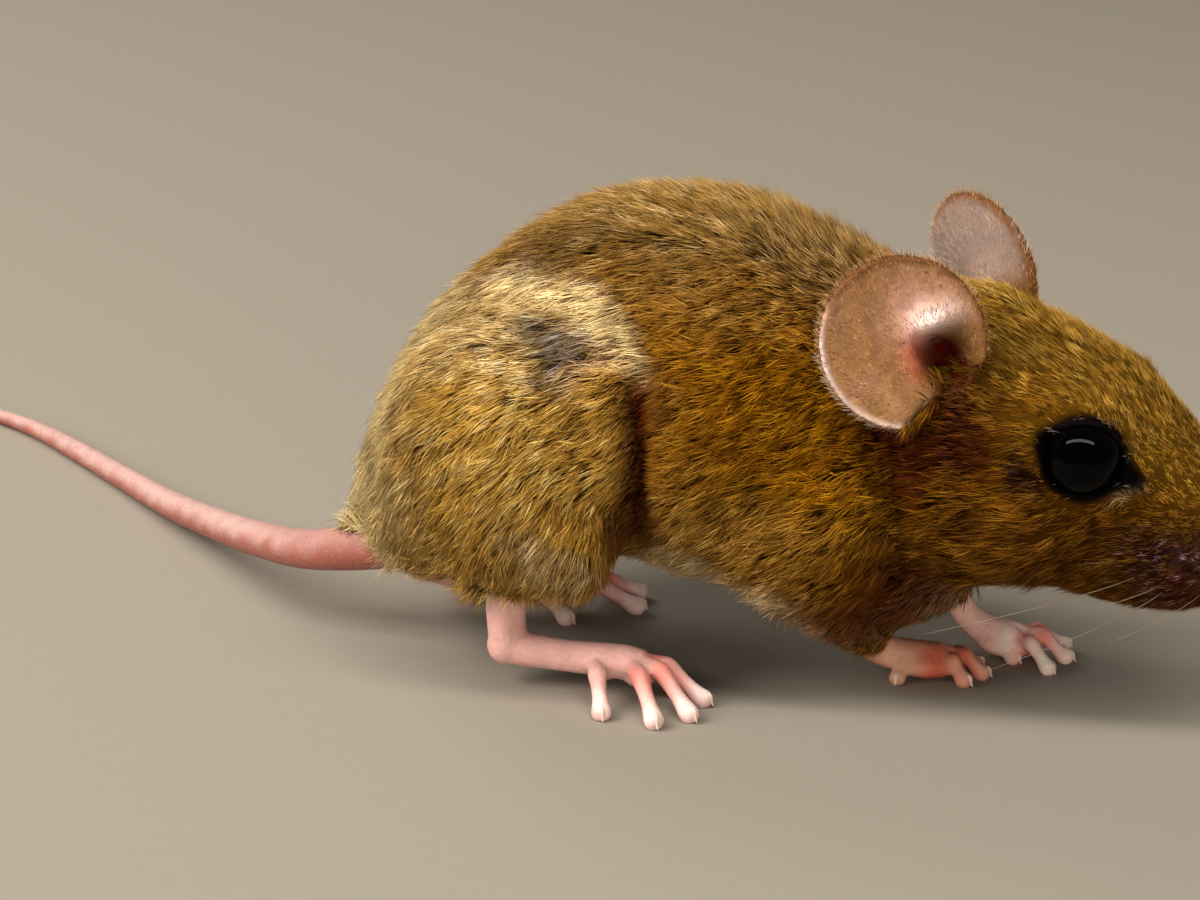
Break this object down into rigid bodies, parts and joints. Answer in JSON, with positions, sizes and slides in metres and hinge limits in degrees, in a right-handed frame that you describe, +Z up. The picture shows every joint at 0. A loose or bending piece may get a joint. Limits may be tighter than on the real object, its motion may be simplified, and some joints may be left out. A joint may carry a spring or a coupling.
{
  "type": "field mouse",
  "caption": "Young field mouse crouched on all four feet, head low and turned a little to its right, large round ears, black eyes, agouti fur and a long thin tail laid out to its left.",
  "frame": {"origin": "middle of the bounding box in plan, on the floor under the feet", "axes": "+X from rump to nose along the trunk, +Y to the mouse's left where the tail lies, +Z up"},
  "size_m": [0.117, 0.0568, 0.0351],
  "materials": {
    "coat": "soft agouti fur, olive brown with golden flanks and darker back",
    "bare_skin": "thin pink skin with a sparse down",
    "ear_skin": "thin tan skin, pink in the bowl, with short down",
    "nose_skin": "moist dark pink",
    "eye": "wet gloss black"
  },
  "bodies": {
    "root": {"head": "coat", "neck": "coat", "trunk": "coat", "thigh_left": "coat", "thigh_right": "coat", "foreleg_left": "coat", "foreleg_right": "coat", "hind_foot_left": "bare_skin", "hind_foot_right": "bare_skin", "forefoot_left": "bare_skin", "forefoot_right": "bare_skin", "tail_1": "bare_skin", "tail_2": "bare_skin", "tail_3": "bare_skin", "tail_4": "bare_skin", "ear_left": "ear_skin", "ear_right": "ear_skin", "eye_left": "eye", "eye_right": "eye", "nose": "nose_skin"}
  },
  "joints": []
}
